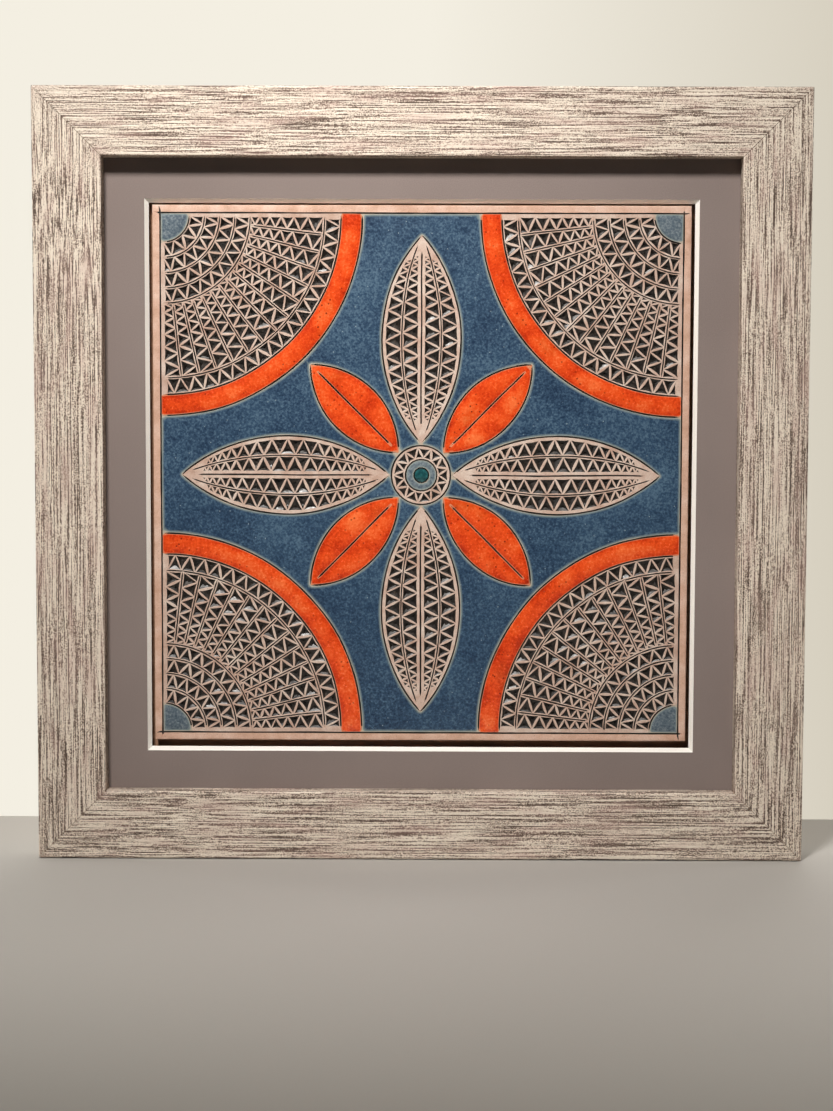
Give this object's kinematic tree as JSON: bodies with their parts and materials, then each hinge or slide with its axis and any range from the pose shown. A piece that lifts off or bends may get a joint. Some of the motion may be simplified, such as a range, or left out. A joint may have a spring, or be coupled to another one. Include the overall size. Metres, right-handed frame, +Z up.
{
  "type": "framed ceramic artwork",
  "caption": "Square carved and glazed ceramic tile in a bevelled mat and a wide mitred wood frame, with a sawtooth hanger on the back for hanging it on a wall.",
  "frame": {"origin": "centre of the sawtooth hanger's flat back face, which meets the wall", "axes": "+Y into the wall, -Y out of the picture's face, +Z up, +X to the viewer's right"},
  "size_m": [0.585, 0.04, 0.585],
  "materials": {
    "moulding": "wire-brushed, cream over taupe",
    "mat_card": "uncoated card, white bevel",
    "glazed_clay": "fired clay with blue, orange and black glazes",
    "foam_strip": "foam board",
    "plywood": "raw",
    "hardboard": "smooth hardboard",
    "kraft_paper": "brown paper",
    "plated_steel": "zinc plated",
    "clear_bumper": "clear soft dots"
  },
  "bodies": {
    "root": {"frame_rail_top": "moulding", "frame_rail_right": "moulding", "frame_rail_bottom": "moulding", "frame_rail_left": "moulding", "mat_board": "mat_card", "ceramic_tile": "glazed_clay", "spacer_strip_top": "foam_strip", "spacer_strip_bottom": "foam_strip", "spacer_strip_left": "foam_strip", "spacer_strip_right": "foam_strip", "mount_board": "plywood", "backing_board": "hardboard", "dust_cover": "kraft_paper", "sawtooth_hanger": "plated_steel", "hanger_screw_left": "plated_steel", "hanger_screw_right": "plated_steel", "bumper_left": "clear_bumper", "bumper_right": "clear_bumper"}
  },
  "joints": []
}
